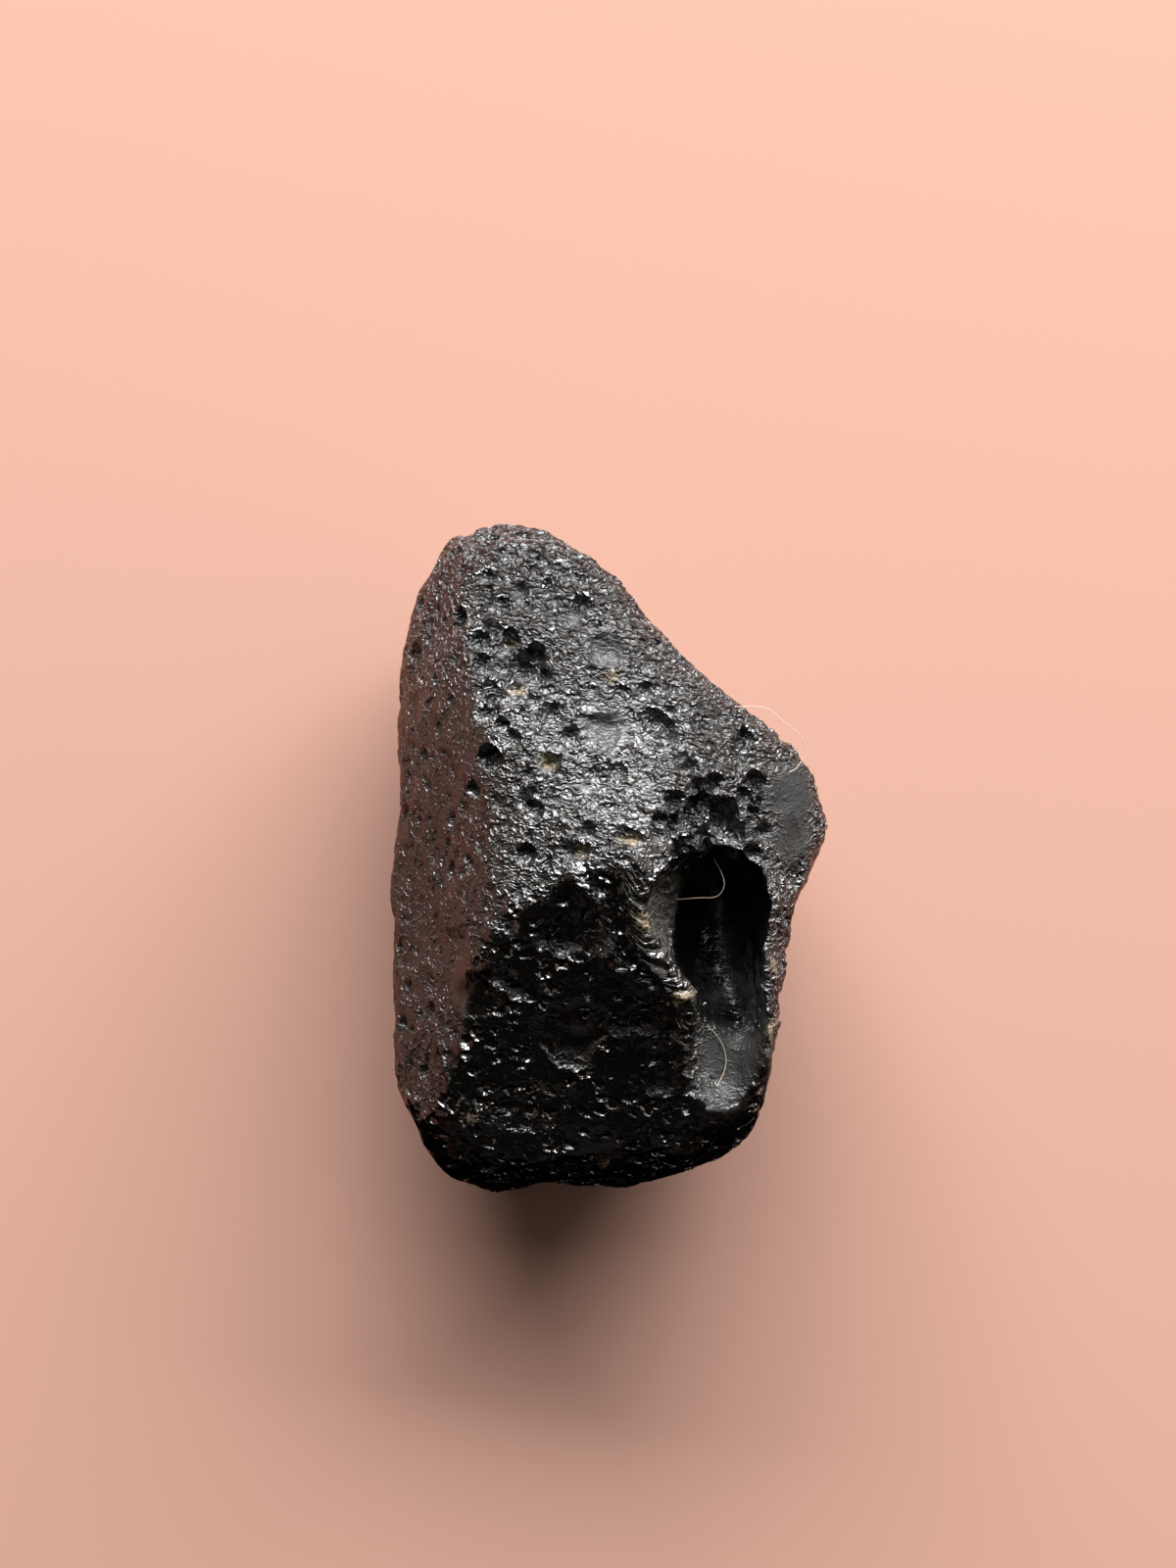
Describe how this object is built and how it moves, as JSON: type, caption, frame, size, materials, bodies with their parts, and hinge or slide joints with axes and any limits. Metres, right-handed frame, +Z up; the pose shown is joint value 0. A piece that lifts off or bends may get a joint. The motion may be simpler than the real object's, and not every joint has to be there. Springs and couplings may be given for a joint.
{
  "type": "tektite",
  "caption": "Small tektite: a long, faceted, deeply pitted lump of black natural glass with one deep groove, lying on its flattest side.",
  "frame": {"origin": "middle of the stone's outline seen from above, on the flat face that it lies on", "axes": "+Z up, +Y along the stone from its wide end towards its narrow end, +X towards the side with the groove"},
  "size_m": [0.0142, 0.022, 0.012],
  "materials": {
    "black_glass": "black natural glass, etched to a fine silky scalloped surface with pits, pale soil in some of them"
  },
  "bodies": {
    "root": {"tektite": "black_glass"}
  },
  "joints": []
}
